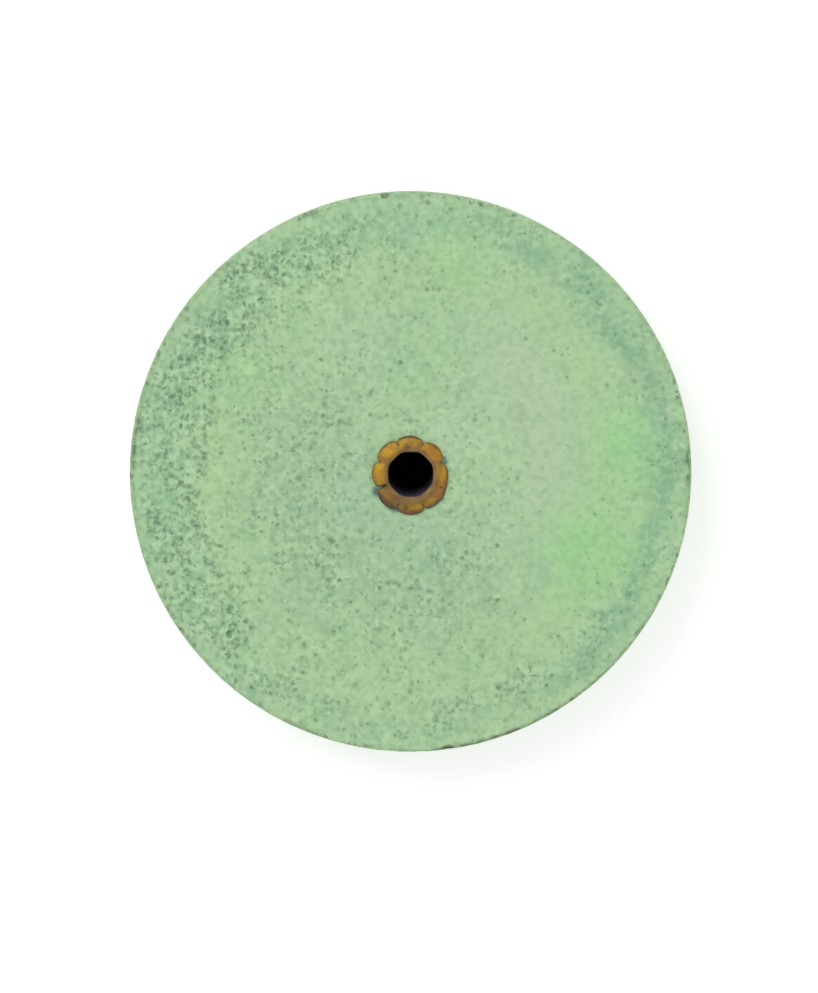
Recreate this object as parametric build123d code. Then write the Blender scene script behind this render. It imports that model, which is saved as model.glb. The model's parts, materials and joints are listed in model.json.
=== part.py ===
from build123d import *
from math import cos, radians, sin, sqrt, tan
import os

# A small bonded silicon carbide wheel with a brass eyelet clinched in its arbor hole.
# Millimetres. +Z is the wheel's axis. The wheel lies on the eyelet's flange, and the
# origin is the centre of the bore in the plane that it lies on.

# The abrasive disc
wheel_diameter = 19.05
wheel_thickness = 3.175
arris_chamfer = 0.08

# The eyelet, drawn from one piece of brass sheet
bore_diameter = 1.55
sheet_thickness = 0.15
barrel_clearance = 0.015
flange_width = 0.50
flange_bend_radius = 0.08
flange_edge_chamfer = 0.03

# Its mouth, clinched over the front face and split into petals
petal_count = 8
petal_length = 0.405
petal_droop = 40.0
petal_crown = 0.13
scallop_depth = 0.16
split_width = 0.05
split_length = 0.27
split_corner_radius = 0.06

# One split, counted from the first after +X, is torn right through the mouth
torn_split = 4
torn_split_length = 0.44
tear_below_face = 0.05

# Grit broken out of the front arris: the angle from +X in degrees, the length along
# the rim, and the depth in from the sharp corner
rim_chips = [
    (19.5, 0.28, 0.12),
    (30.2, 0.30, 0.15),
    (38.9, 0.24, 0.12),
    (48.4, 0.24, 0.11),
    (95.2, 0.30, 0.20),
    (111.3, 0.48, 0.14),
    (154.3, 0.24, 0.15),
    (172.0, 0.44, 0.12),
    (180.5, 0.30, 0.13),
    (209.4, 0.32, 0.13),
    (214.4, 0.42, 0.15),
    (230.1, 0.28, 0.12),
    (277.7, 0.66, 0.15),
    (287.6, 0.34, 0.13),
    (305.5, 0.30, 0.12),
    (325.0, 0.46, 0.15),
    (333.5, 0.34, 0.13),
    (343.0, 0.24, 0.12),
]

# Places that follow from the sizes above
wheel_radius = wheel_diameter / 2
bore_radius = bore_diameter / 2
barrel_radius = bore_radius + sheet_thickness
hole_radius = barrel_radius + barrel_clearance
flange_radius = barrel_radius + flange_width
tip_radius = barrel_radius + petal_length
back_face = sheet_thickness
front_face = back_face + wheel_thickness

# The mouth rolls out of the barrel in a quarter bend that starts level with the front
# face. It then arcs down through petal_droop until the tips of the petals touch the face.
half_droop = tan(radians(petal_droop) / 2)
mouth_bend_radius = petal_length * half_droop / (1 + half_droop)
crest_radius = barrel_radius + mouth_bend_radius
crest_height = front_face + mouth_bend_radius + sheet_thickness
petal_arc_radius = (petal_length - mouth_bend_radius) / sin(radians(petal_droop))

# Each petal is a round lobe. Two neighbours meet at the bottom of a scallop.
petal_turn = 360 / petal_count
scallop_radius = tip_radius - scallop_depth
lobe_centre = (tip_radius**2 - scallop_radius**2) / (
    2 * (tip_radius - scallop_radius * cos(radians(petal_turn / 2)))
)
lobe_radius = tip_radius - lobe_centre


def abrasive_disc():
    """The pressed disc, with a worn arris all round and a hole that clears the eyelet's bends."""
    width = wheel_radius - hole_radius
    middle = hole_radius + width / 2
    section = Pos(middle, back_face + wheel_thickness / 2) * Rectangle(width, wheel_thickness)
    section = chamfer([corner for corner in section.vertices() if corner.X > middle], arris_chamfer)
    hole_edges = section.vertices().sort_by(Axis.X)[:2]
    section = chamfer(hole_edges, flange_bend_radius + barrel_clearance)
    return revolve(Plane.XZ * section, Axis.Z, 360)


def rim_chip(angle, length, depth):
    """A ball that scoops a chip of this length and depth out of the front arris."""
    radius = (length**2 / 4 + depth**2) / (2 * depth)
    offset = (radius - depth) / sqrt(2)
    return Rot(0, 0, angle) * Pos(wheel_radius + offset, 0, front_face + offset) * Sphere(radius)


def sheet_section():
    """Half section of the bent sheet, with the radius along X and the height along Y."""
    flange_bend = (barrel_radius + flange_bend_radius, back_face + flange_bend_radius)
    mouth_bend = (crest_radius, front_face)
    petal_arc = (crest_radius, front_face + mouth_bend_radius - petal_arc_radius)
    past_the_tip = petal_droop * 1.2
    under_petal = CenterArc(petal_arc, petal_arc_radius, 90, -past_the_tip)
    over_petal = CenterArc(petal_arc, petal_arc_radius + sheet_thickness, 90, -past_the_tip)
    outline = [
        CenterArc(flange_bend, flange_bend_radius + sheet_thickness, 180, 90),
        Line((flange_bend[0], 0), (flange_radius, 0)),
        Line((flange_radius, 0), (flange_radius, back_face)),
        Line((flange_radius, back_face), (flange_bend[0], back_face)),
        CenterArc(flange_bend, flange_bend_radius, 270, -90),
        Line((barrel_radius, flange_bend[1]), (barrel_radius, front_face)),
        CenterArc(mouth_bend, mouth_bend_radius, 180, -90),
        under_petal,
        Line(under_petal @ 1, over_petal @ 1),
        over_petal,
        CenterArc(mouth_bend, mouth_bend_radius + sheet_thickness, 180, -90),
        Line((bore_radius, front_face), (bore_radius, flange_bend[1])),
    ]
    section = make_face(Curve() + outline)
    flange_edges = section.vertices().sort_by(lambda corner: abs(corner.X - flange_radius))[:2]
    return chamfer(flange_edges, flange_edge_chamfer)


def split(length):
    """A split of this length from the petals' tips, along +X, with a round root."""
    root = tip_radius - length + split_width / 2
    slot = Pos((root + tip_radius) / 2, 0) * Rectangle(tip_radius - root, split_width)
    return slot + Pos(root, 0) * Circle(split_width / 2)


def petal_outline():
    """The petals from the front: round lobes, parted by their splits."""
    outline = Circle(lobe_centre) + PolarLocations(lobe_centre, petal_count) * Circle(lobe_radius)
    for place in range(petal_count):
        length = torn_split_length if place == torn_split else split_length
        outline -= Rot(0, 0, petal_turn * (place + 0.5)) * split(length)
    middle_of_splits = (scallop_radius + tip_radius - split_length) / 2
    mouths = [v for v in outline.vertices() if sqrt(v.X**2 + v.Y**2) > middle_of_splits]
    return fillet(mouths, split_corner_radius)


def petal_domes():
    """A ball over each petal. It takes the sheet down towards the petal's sides, so that
    the petal is a pillow, highest in its middle."""
    radius = (lobe_radius**2 + petal_crown**2) / (2 * petal_crown)
    ball = Pos(0, 0, crest_height - radius) * Sphere(radius)
    return Part() + [place * ball for place in PolarLocations(lobe_centre, petal_count)]


def arbor_eyelet():
    """The eyelet: flange on the back, barrel through the hole, petals on the front."""
    sheet = revolve(Plane.XZ * sheet_section(), Axis.Z, 360)
    lowest = Pos(0, 0, front_face - tear_below_face)
    height = crest_height - front_face + 2 * tear_below_face
    petals = lowest * extrude(petal_outline(), height) & petal_domes()
    waste = lowest * extrude(Circle(2 * tip_radius), height) - petals
    return sheet - waste


parts = {
    "abrasive_wheel": abrasive_disc() - [rim_chip(*chip) for chip in rim_chips],
    "arbor_eyelet": arbor_eyelet(),
}

os.makedirs("parts", exist_ok=True)
for name, part in parts.items():
    export_step(part, f"parts/{name}.step")
    state = "valid" if part.is_valid else "NOT VALID"
    print(name, len(part.solids()), "solid", round(part.volume, 3), "mm3", state)
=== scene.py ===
"""A small silicon carbide grinding wheel with a brass eyelet clinched in its arbor hole.

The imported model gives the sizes. This script presses the abrasive disc again with its open
pores, raised grit and chipped edge, rolls the eyelet again with its eight petals, gives both
their finish, and lights them on a pale floor. Sizes are millimetres until a mesh is finished.
"""

from __future__ import annotations

import json
import logging
import math
from collections.abc import Mapping, Sequence
from dataclasses import dataclass
from enum import Enum
from typing import Any

import bmesh
import bpy
import numpy as np
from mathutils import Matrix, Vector, noise

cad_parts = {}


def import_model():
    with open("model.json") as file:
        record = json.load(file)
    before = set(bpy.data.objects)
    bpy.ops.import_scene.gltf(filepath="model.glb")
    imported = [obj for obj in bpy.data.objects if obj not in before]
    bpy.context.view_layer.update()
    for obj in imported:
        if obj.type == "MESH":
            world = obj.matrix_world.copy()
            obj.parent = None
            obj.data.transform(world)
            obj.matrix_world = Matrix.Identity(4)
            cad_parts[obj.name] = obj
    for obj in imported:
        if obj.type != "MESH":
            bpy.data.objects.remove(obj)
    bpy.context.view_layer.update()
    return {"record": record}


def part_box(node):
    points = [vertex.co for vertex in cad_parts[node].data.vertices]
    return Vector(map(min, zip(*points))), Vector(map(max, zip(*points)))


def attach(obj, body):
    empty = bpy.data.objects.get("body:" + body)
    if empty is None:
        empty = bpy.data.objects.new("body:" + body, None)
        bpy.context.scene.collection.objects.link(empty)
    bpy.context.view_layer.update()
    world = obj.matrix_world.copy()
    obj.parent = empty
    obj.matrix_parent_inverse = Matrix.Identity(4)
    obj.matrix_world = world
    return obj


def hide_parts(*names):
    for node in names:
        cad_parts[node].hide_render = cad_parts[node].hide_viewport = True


MM = 0.001
BAKE_MAP = "OFBake"
log = logging.getLogger("grinding_wheel")

Colour = tuple[float, float, float, float]


def shade(red: int, green: int, blue: int) -> Colour:
    """Turns a colour as a screen shows it into the linear colour that a shader takes.

    Args:
        red: The red part, from 0 to 255.
        green: The green part.
        blue: The blue part.

    Returns:
        The linear colour, with an alpha of 1.
    """

    def linear(part: int) -> float:
        """Undoes the screen's own curve for one part of the colour."""
        level = part / 255
        return level / 12.92 if level <= 0.04045 else ((level + 0.055) / 1.055) ** 2.4

    return linear(red), linear(green), linear(blue), 1.0


class Wire:
    """The output of a node. Python's operators on it add Math nodes."""

    def __init__(self, graph: Graph, socket: bpy.types.NodeSocket) -> None:
        """Keeps the socket and the graph that it belongs to."""
        self.graph = graph
        self.socket = socket

    def __add__(self, other: Wire | float) -> Wire:
        """Adds."""
        return self.graph.maths("ADD", self, other)

    def __radd__(self, other: float) -> Wire:
        """Adds to a number."""
        return self.graph.maths("ADD", other, self)

    def __sub__(self, other: Wire | float) -> Wire:
        """Takes the other away."""
        return self.graph.maths("SUBTRACT", self, other)

    def __rsub__(self, other: float) -> Wire:
        """Is taken away from a number."""
        return self.graph.maths("SUBTRACT", other, self)

    def __mul__(self, other: Wire | float) -> Wire:
        """Multiplies."""
        return self.graph.maths("MULTIPLY", self, other)

    def __rmul__(self, other: float) -> Wire:
        """Multiplies a number."""
        return self.graph.maths("MULTIPLY", other, self)

    def __truediv__(self, other: Wire | float) -> Wire:
        """Divides by the other."""
        return self.graph.maths("DIVIDE", self, other)

    def __rtruediv__(self, other: float) -> Wire:
        """Divides a number."""
        return self.graph.maths("DIVIDE", other, self)

    def __pow__(self, power: float) -> Wire:
        """Raises to a power."""
        return self.graph.maths("POWER", self, power)

    def __gt__(self, other: Wire | float) -> Wire:
        """Is 1 where this is more than the other, and 0 elsewhere."""
        return self.graph.maths("GREATER_THAN", self, other)

    def __lt__(self, other: Wire | float) -> Wire:
        """Is 1 where this is less than the other, and 0 elsewhere."""
        return self.graph.maths("LESS_THAN", self, other)

    def apply(self, operation: str) -> Wire:
        """Runs a Math operation that takes one number, such as a sine."""
        return self.graph.maths(operation, self)

    def at_most(self, other: Wire | float) -> Wire:
        """Gives the smaller of the two."""
        return self.graph.maths("MINIMUM", self, other)

    def at_least(self, other: Wire | float) -> Wire:
        """Gives the larger of the two."""
        return self.graph.maths("MAXIMUM", self, other)

    def rise(self, start: float, end: float) -> Wire:
        """Goes smoothly from 0 at start to 1 at end, or down to 1 where end is the lower.

        Args:
            start: The value at which the rise begins.
            end: The value at which it is complete.

        Returns:
            A number from 0 to 1.
        """
        ends = {"Value": self, "From Min": start, "From Max": end}
        return self.graph.wire("ShaderNodeMapRange", {"interpolation_type": "SMOOTHSTEP"}, ends)

    def bell(self, middle: float, width: float) -> Wire:
        """Is 1 at the middle and fades to both sides.

        Args:
            middle: The value with the full height.
            width: How far from there it has fallen to about a third.

        Returns:
            A number from 0 to 1.
        """
        away = (self - middle) / width
        return (away * away * -1.0).apply("EXPONENT")


class Graph:
    """A node tree that a few short expressions build."""

    def __init__(self, tree: bpy.types.NodeTree) -> None:
        """Empties the tree and keeps it."""
        self.tree = tree
        tree.nodes.clear()

    @staticmethod
    def pick(sockets: Any, key: str | int) -> bpy.types.NodeSocket:
        """Finds a socket that is in use.

        Args:
            sockets: The node's inputs or outputs.
            key: Its name, or its place among those in use.

        Returns:
            The socket.
        """
        used = [socket for socket in sockets if socket.enabled]
        if isinstance(key, int):
            return used[key]
        return next(socket for socket in used if socket.name == key)

    def node(
        self,
        kind: str,
        settings: Mapping[str, Any] | None = None,
        sockets: Mapping[str | int, Any] | None = None,
    ) -> bpy.types.Node:
        """Adds a node, sets it up and feeds it.

        Args:
            kind: The node's type.
            settings: Its own settings. A ramp's are its stops, as (place, colour) pairs.
            sockets: A number, a name or a wire for each socket that isn't left as it is.

        Returns:
            The node.
        """
        node = self.tree.nodes.new(kind)
        for name, choice in (settings or {}).items():
            if name == "stops":
                self._set_stops(node, choice)
            else:
                setattr(node, name, choice)
        for key, term in (sockets or {}).items():
            socket = self.pick(node.inputs, key)
            if isinstance(term, Wire):
                self.tree.links.new(term.socket, socket)
            else:
                socket.default_value = term
        return node

    @staticmethod
    def _set_stops(node: bpy.types.Node, stops: Sequence[tuple[float, Colour]]) -> None:
        """Gives a ramp its stops, in order."""
        elements = node.color_ramp.elements
        while len(elements) < len(stops):
            elements.new(1.0)
        for element, (place, colour) in zip(elements, stops, strict=True):
            element.position = place
            element.color = colour

    def wire(
        self,
        kind: str,
        settings: Mapping[str, Any] | None = None,
        sockets: Mapping[str | int, Any] | None = None,
        output: str | int = 0,
    ) -> Wire:
        """Adds a node as node() does, and gives one of its outputs."""
        return Wire(self, self.pick(self.node(kind, settings, sockets).outputs, output))

    def maths(self, operation: str, *terms: Wire | float) -> Wire:
        """Adds a Math node for this operation on these terms."""
        return self.wire("ShaderNodeMath", {"operation": operation}, dict(enumerate(terms)))

    def vector(self, x: Wire | float = 0.0, y: Wire | float = 0.0, z: Wire | float = 0.0) -> Wire:
        """Makes a vector of three numbers."""
        return self.wire("ShaderNodeCombineXYZ", None, {"X": x, "Y": y, "Z": z})

    def parts(self, vector: Wire) -> tuple[Wire, Wire, Wire]:
        """Takes a vector apart into x, y and z."""
        node = self.node("ShaderNodeSeparateXYZ", None, {0: vector})
        return tuple(Wire(self, socket) for socket in node.outputs)

    def vectors(self, operation: str, *terms: Any) -> Wire:
        """Adds a Vector Math node for this operation on these terms."""
        return self.wire("ShaderNodeVectorMath", {"operation": operation}, dict(enumerate(terms)))

    def scaled(self, vector: Wire, factor: Wire | float) -> Wire:
        """Makes a vector longer by a factor."""
        settings = {"operation": "SCALE"}
        return self.wire("ShaderNodeVectorMath", settings, {0: vector, "Scale": factor})

    def mix(self, factor: Wire | float, first: Any, second: Any, blend: str = "MIX") -> Wire:
        """Mixes two colours.

        Args:
            factor: How much of the second shows.
            first: The colour below.
            second: The colour above.
            blend: The way they mix.

        Returns:
            The colour.
        """
        settings = {"data_type": "RGBA", "blend_type": blend}
        return self.wire("ShaderNodeMix", settings, {"Factor": factor, "A": first, "B": second})

    def noise(self, place: Wire, size: float, detail: float = 2.0, roughness: float = 0.5) -> Wire:
        """Gives smooth noise from 0 to 1.

        Args:
            place: Where it is read, in millimetres.
            size: How wide its blots are, in millimetres.
            detail: How many finer layers it has.
            roughness: How strong those are.

        Returns:
            The noise, mostly between 0.25 and 0.75.
        """
        sockets = {"Vector": place, "Scale": 1 / size, "Detail": detail, "Roughness": roughness}
        return self.wire("ShaderNodeTexNoise", {"noise_dimensions": "3D"}, sockets)


class Side(Enum):
    """The two faces of the wheel."""

    FRONT = 0
    BACK = 1


class Blemish(Enum):
    """What breaks the wheel's skin. The value is its place in the list of seed shapes."""

    PORE = 0
    PINHOLE = 1
    GRIT = 2


@dataclass(frozen=True)
class Patch:
    """A round patch of a face, by its place and spread in shares of the wheel's radius."""

    angle: float
    reach: float
    spread: float

    def mask(self, across: Wire, along: Wire) -> Wire:
        """Is 1 in the patch's middle and fades outwards.

        Args:
            across: The place along X, in shares of the radius.
            along: The place along Y.

        Returns:
            A number from 0 to 1.
        """
        turn = math.radians(self.angle)
        aside = across - self.reach * math.cos(turn)
        above = along - self.reach * math.sin(turn)
        away = (aside * aside + above * above) / self.spread**2
        return (away * -1.0).apply("EXPONENT")


@dataclass(frozen=True)
class PressMarks:
    """How pressing and firing left a face: where its pores crowd and where its colour turns.

    The same masks guide the pores in Geometry Nodes and the colours in the shader.
    """

    wheel_radius: float
    back_face: float
    front_face: float

    back_turn: float = 150.0
    crowded_pores: float = 10.0
    common_pores: float = 0.34
    scorches: tuple[Patch, ...] = (
        Patch(174.0, 1.0, 0.17),
        Patch(258.0, 1.0, 0.20),
        Patch(292.0, 1.0, 0.24),
        Patch(1.0, 1.0, 0.09),
    )
    beaded: tuple[Patch, ...] = (
        Patch(14.0, 1.0, 0.24),
        Patch(75.0, 1.0, 0.16),
        Patch(111.0, 1.0, 0.07),
        Patch(158.0, 1.0, 0.12),
        Patch(208.0, 1.0, 0.22),
        Patch(256.0, 1.0, 0.16),
        Patch(341.0, 1.0, 0.10),
    )

    def pressed(self, graph: Graph, place: Wire) -> Wire:
        """Gives a place as its own face was pressed, with that face at a depth of 0.

        Args:
            graph: The tree that it is built in.
            place: The place on the model, in millimetres.

        Returns:
            The place across and along the face, and how deep below it on the rim.
        """
        x, y, z = graph.parts(place)
        turn = math.radians(self.back_turn)
        back = z < self.back_face + 0.1
        front = 1.0 - back
        across = x * front + (x * math.cos(turn) + y * math.sin(turn)) * back
        along = y * front + (x * math.sin(turn) - y * math.cos(turn)) * back
        return graph.vector(across, along, (self.front_face - z) * front)

    def masks(self, graph: Graph, place: Wire) -> dict[str, Wire]:
        """Builds the masks of one face.

        Args:
            graph: The tree that they are built in.
            place: The place as pressed() gives it.

        Returns:
            A mask from 0 to 1 for each mark, by name.
        """
        across, along, _ = graph.parts(place)
        drift = (graph.noise(place, 3.2, 1.0) - 0.5) * 0.16
        x = across / self.wheel_radius
        y = along / self.wheel_radius
        reach = (x * x + y * y).apply("SQRT") + drift
        left = self.towards(x, y, reach, 163.0)
        right = self.towards(x, y, reach, 8.0)
        low_left = self.towards(x, y, reach, 225.0)
        high_right = self.towards(x, y, reach, 40.0)
        high_left = self.towards(x, y, reach, 148.0)
        low = self.towards(x, y, reach, 272.0)
        return {
            "open_band": reach.bell(0.85, 0.095) * left.rise(0.25, 0.85),
            "open_low": reach.bell(0.87, 0.07) * low.rise(0.2, 0.9),
            "dusky_rim": reach.bell(0.885, 0.075) * high_left.rise(0.0, 0.9) * 0.8,
            "dusky_edge": reach.bell(0.91, 0.055) * (right.rise(0.0, 0.9) * 0.75 + 0.25),
            "dusky_right": Patch(2.0, 0.905, 0.08).mask(x, y),
            "dusky_high": Patch(50.0, 0.955, 0.08).mask(x, y),
            "pale_high": Patch(42.0, 0.865, 0.06).mask(x, y),
            "dusky_left": Patch(145.0, 0.885, 0.12).mask(x, y),
            "open_middle": reach.bell(0.42, 0.2) * low_left.rise(-0.6, 0.5),
            "tight_side": reach.bell(0.6, 0.24) * right.rise(0.0, 0.8),
            "yellow_ring": reach.bell(0.7, 0.09),
            "pale_ring": reach.bell(0.5, 0.16) * high_right.rise(-0.4, 0.8),
            "blue_middle": reach.bell(0.22, 0.17) * low_left.rise(-0.7, 0.6),
            "green_right": Patch(7.0, 0.79, 0.13).mask(x, y),
            "green_low": Patch(-23.0, 0.69, 0.16).mask(x, y),
            "green_high": Patch(82.0, 0.72, 0.16).mask(x, y),
            "green_left": Patch(152.0, 0.72, 0.12).mask(x, y),
            "green_top": Patch(84.0, 0.43, 0.17).mask(x, y),
            "pale_collar": Patch(42.0, 0.22, 0.13).mask(x, y),
        }

    @staticmethod
    def towards(x: Wire, y: Wire, reach: Wire, angle: float) -> Wire:
        """Is 1 in one direction from the middle, 0 square to it and -1 the other way."""
        turn = math.radians(angle)
        return (x * math.cos(turn) + y * math.sin(turn)) / reach.at_least(0.05)

    def crowding(self, graph: Graph, place: Wire, marks: Mapping[str, Wire]) -> Wire:
        """Gives how thickly pores lie, as a share of the densest.

        Args:
            graph: The tree that it is built in.
            place: The place as pressed() gives it.
            marks: The masks there.

        Returns:
            A number from 0 to 1.
        """
        clusters = graph.noise(place, 1.1, 2.0).rise(0.3, 0.68)
        level = (
            self.common_pores
            + marks["open_band"] * 0.85
            + marks["open_low"] * 0.2
            + marks["dusky_rim"] * 0.1
            + marks["dusky_edge"] * 0.1
            + marks["open_middle"] * 0.18
            - marks["tight_side"] * 0.24
        )
        return (level * (0.5 + clusters)).at_least(0.02).at_most(1.0)


@dataclass(frozen=True)
class BakeSheet:
    """Where the wheel's skin lies on its unrolled map: two discs and four rim strips."""

    scale: float = 0.028
    front_middle: tuple[float, float] = (0.28, 0.72)
    back_middle: tuple[float, float] = (0.72, 0.28)
    low_strips: tuple[float, float] = (0.005, 0.02)
    high_strips: tuple[float, float] = (0.57, 0.88)
    strip_step: float = 0.1

    def middle(self, side: Side) -> tuple[float, float]:
        """Gives the middle of a face's disc."""
        return self.front_middle if side is Side.FRONT else self.back_middle


@dataclass(frozen=True)
class RimChip:
    """Grit broken out of the front edge, as a ball would scoop it."""

    angle: float
    length: float
    depth: float
    stain: float = 0.3

    def scoop(self, points: np.ndarray, radius: float, face: float) -> tuple[np.ndarray, np.ndarray]:
        """Pushes what lies in the chip back to its surface.

        Args:
            points: The skin's points, one row each.
            radius: The wheel's radius.
            face: The height of the front face.

        Returns:
            The points, and for each how deep the chip cut it.
        """
        ball = (self.length**2 / 4 + self.depth**2) / (2 * self.depth)
        offset = (ball - self.depth) / math.sqrt(2)
        turn = math.radians(self.angle)
        out = radius + offset
        middle = np.array([out * math.cos(turn), out * math.sin(turn), face + offset])
        away = points - middle
        distance = np.linalg.norm(away, axis=1, keepdims=True)
        cut = np.clip(ball - distance, 0.0, None)
        return points + away / np.maximum(distance, 1e-9) * cut, cut[:, 0]


@dataclass(frozen=True)
class SpeckLayer:
    """Specks of one size in the skin: closed pores, or the grit's dark and bright grains."""

    spacing: float
    breadth: float
    share: float
    strength: float

    def mask(self, graph: Graph, place: Wire, crowding: Wire) -> Wire:
        """Is highest in the middle of a speck and 0 between them.

        Args:
            graph: The material's tree.
            place: The place as _unrolled() gives it.
            crowding: How thickly they lie, from 0 to 1.

        Returns:
            A number from 0 to 1.
        """
        sockets = {"Vector": place, "Scale": 1 / self.spacing}
        cells = graph.node("ShaderNodeTexVoronoi", {"voronoi_dimensions": "2D"}, sockets)
        away = Wire(graph, cells.outputs["Distance"]) * self.spacing
        shows, dark, _ = graph.parts(Wire(graph, cells.outputs["Color"]))
        kept = (crowding * self.share - shows).rise(0.0, 0.3)
        faint = 0.3 + dark * 0.4 + crowding * 0.4
        return away.rise(self.breadth, 0.0) * kept * faint * self.strength


@dataclass
class CarbideFinish:
    """The green bond with its dark open pores and bright grit."""

    marks: PressMarks

    body: Colour = shade(176, 211, 162)
    tints: tuple[tuple[str, Colour, float], ...] = (
        ("yellow_ring", shade(176, 212, 158), 0.7),
        ("pale_ring", shade(184, 209, 172), 0.8),
        ("blue_middle", shade(168, 201, 168), 0.6),
        ("dusky_rim", shade(158, 203, 158), 0.8),
        ("dusky_edge", shade(142, 187, 150), 0.9),
        ("dusky_right", shade(140, 180, 146), 0.9),
        ("pale_high", shade(176, 211, 162), 0.5),
        ("dusky_high", shade(142, 187, 150), 0.5),
        ("dusky_left", shade(150, 186, 150), 0.5),
        ("open_middle", shade(158, 192, 152), 0.4),
        ("green_right", shade(160, 217, 148), 0.9),
        ("green_low", shade(158, 216, 144), 0.9),
        ("green_high", shade(168, 213, 154), 0.6),
        ("green_left", shade(166, 213, 154), 0.6),
        ("green_top", shade(163, 209, 154), 0.7),
        ("pale_collar", shade(184, 212, 172), 0.8),
    )
    bluish: Colour = shade(160, 194, 164)
    yellowish: Colour = shade(178, 207, 160)
    pore_shade: Colour = shade(106, 140, 108)
    speck: Colour = shade(86, 121, 92)
    grit_top: Colour = shade(198, 226, 180)
    dusk: Colour = shade(142, 184, 148)
    gap: Colour = shade(100, 142, 110)
    scorch_and_shade_green: Colour = shade(84, 104, 78)
    scorch_and_shade_brown: Colour = shade(82, 90, 64)
    # painted shadow of the eyelet's petals on the face
    shadow_and_grime: Colour = shade(84, 106, 104)
    petal_shadows: tuple[Patch, ...] = (
        Patch(19.5, 0.131, 0.010),
        Patch(25.5, 0.133, 0.007),
        Patch(204.0, 0.136, 0.011),
        Patch(208.5, 0.141, 0.013),
        Patch(239.0, 0.140, 0.009),
        Patch(245.0, 0.139, 0.010),
        Patch(250.0, 0.136, 0.008),
        Patch(322.0, 0.140, 0.008),
    )
    specks: tuple[SpeckLayer, ...] = (
        SpeckLayer(0.27, 0.15, 0.5, 0.8),
        SpeckLayer(0.19, 0.12, 0.75, 0.6),
    )
    grains: SpeckLayer = SpeckLayer(0.24, 0.14, 0.9, 0.6)
    grains_aside: tuple[float, float, float] = (11.0, 17.0, 5.0)
    warm_aside: tuple[float, float, float] = (31.0, 7.0, 3.0)
    bend_size: float = 0.2
    bend_reach: float = 0.2
    arris_width: float = 0.12
    arris_depth: float = 0.06
    roughness: float = 0.86

    def material(self) -> bpy.types.Material:
        """Builds the material.

        Returns:
            The material, which reads Object coordinates and the skin's own attributes.
        """
        made = bpy.data.materials.new("silicon_carbide")
        made.use_nodes = True
        graph = Graph(made.node_tree)
        place = graph.scaled(graph.wire("ShaderNodeTexCoord", output="Object"), 1 / MM)
        pressed = self.marks.pressed(graph, place)
        masks = self.marks.masks(graph, pressed)
        x, y, _ = graph.parts(place)
        reach = (x * x + y * y).apply("SQRT")
        on_face = reach.rise(self.marks.wheel_radius, self.marks.wheel_radius - 0.2)
        on_rim = graph.noise(place, 5.0, 1.0).rise(0.35, 0.6) * 0.4 + 0.3
        crowding = self.marks.crowding(graph, pressed, masks)
        crowding = crowding * on_face + on_rim * (1.0 - on_face)
        unrolled = self._unrolled(graph, pressed, reach)
        colour = self._pressed_colour(graph, place, masks, on_face)
        colour = self._mottled_colour(graph, place, colour, crowding)
        colour = self._grained_colour(graph, unrolled, colour, crowding)
        colour = self._edge_colour(graph, place, colour, reach)
        relief = self._attribute(graph, "relief")
        tone = self._attribute(graph, "tone")
        # painted shade: the pores darken towards their floors, more where they crowd
        pit = (relief * -1.0).rise(0.0, 1.0) * (0.1 + tone * 0.4) * (0.5 + crowding * 0.5)
        colour = graph.mix(pit, colour, self.pore_shade)
        colour = graph.mix(relief.rise(0.1, 1.0) * (0.1 + tone * 0.4), colour, self.grit_top)
        shine = graph.noise(place, 0.07, 1.0).rise(0.35, 0.75) * -0.22 + self.roughness
        sockets = {
            "Base Color": colour,
            "Roughness": shine + pit * 0.1,
            "IOR": 1.45,
            "Normal": self._grain_relief(graph, place),
        }
        shader = graph.wire("ShaderNodeBsdfPrincipled", None, sockets)
        graph.node("ShaderNodeOutputMaterial", None, {"Surface": shader})
        return made

    @staticmethod
    def _attribute(graph: Graph, name: str) -> Wire:
        """Reads one of the skin's attributes."""
        return graph.wire("ShaderNodeAttribute", {"attribute_name": name}, None, "Fac")

    def _pressed_colour(
        self, graph: Graph, place: Wire, masks: Mapping[str, Wire], on_face: Wire
    ) -> Wire:
        """Lays the broad turns of colour that pressing and firing left.

        Args:
            graph: The material's tree.
            place: The place in millimetres.
            masks: The marks' masks there.
            on_face: Is 1 on the faces and 0 on the rim.

        Returns:
            The colour.
        """
        colour = self.body
        for name, tint, strength in self.tints:
            colour = graph.mix(masks[name] * on_face * strength, colour, tint)
        cool = graph.noise(place, 2.4, 3.0).rise(0.5, 0.72) * 0.3
        colour = graph.mix(cool, colour, self.bluish)
        warm = graph.noise(graph.vectors("ADD", place, self.warm_aside), 1.6, 3.0)
        return graph.mix(warm.rise(0.5, 0.74) * 0.4, colour, self.yellowish)

    def _mottled_colour(self, graph: Graph, place: Wire, colour: Wire, crowding: Wire) -> Wire:
        """Lays soft dusky blots where pores crowd, and the fine grain everywhere.

        Args:
            graph: The material's tree.
            place: The place in millimetres.
            colour: The colour so far.
            crowding: How thickly pores lie there.

        Returns:
            The colour.
        """
        blots = graph.noise(place, 0.6, 2.0, 0.6).rise(0.36, 0.76)
        colour = graph.mix(blots * (0.14 + crowding * 0.36), colour, self.dusk)
        grain = graph.noise(place, 0.2, 0.8, 0.5)
        colour = graph.mix(grain.rise(0.5, 0.74) * (0.2 + crowding * 0.3), colour, self.grit_top)
        gaps = grain.rise(0.54, 0.28)
        return graph.mix(gaps * (0.12 + crowding * 0.26), colour, self.gap)

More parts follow.
